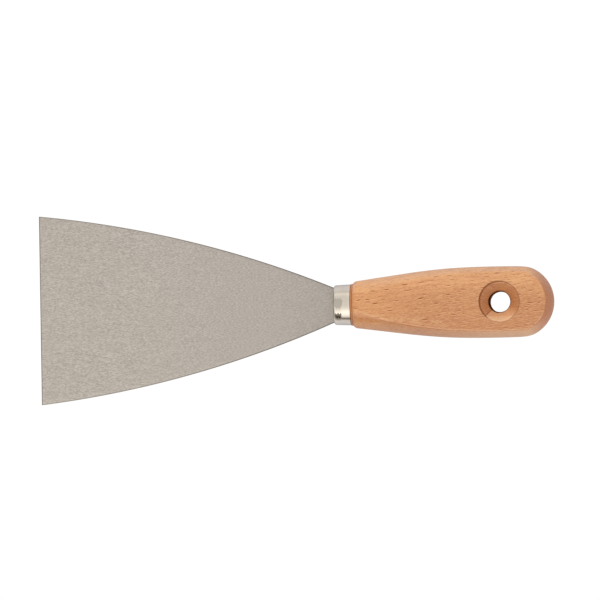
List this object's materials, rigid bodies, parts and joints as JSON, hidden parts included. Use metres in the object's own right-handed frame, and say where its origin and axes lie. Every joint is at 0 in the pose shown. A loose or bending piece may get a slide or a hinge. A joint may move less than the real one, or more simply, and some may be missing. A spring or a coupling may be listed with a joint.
{
  "type": "drywall taping knife",
  "caption": "Flexible filling and taping knife: a flared spring-steel blade with a notched tang, a slotted metal ferrule and a flat-faced beech handle with a countersunk hanging hole.",
  "frame": {"origin": "middle of the working edge of the blade, at mid thickness", "axes": "+X along the knife from the working edge to the rounded end of the handle, +Y across the blade, +Z out of one broad face"},
  "size_m": [0.2042, 0.075, 0.019],
  "materials": {
    "ground_steel": "cross-rolled and ground lengthwise, satin, fine scratches",
    "plated_ferrule": "warm nickel plating, bright, drawn",
    "lacquered_beech": "clear satin lacquer on planed and sanded beech, short brown rays",
    "tang_resin": "set adhesive, hidden in the handle"
  },
  "bodies": {
    "root": {"blade": "ground_steel", "ferrule": "plated_ferrule", "handle": "lacquered_beech", "tang_bond": "tang_resin"}
  },
  "joints": []
}
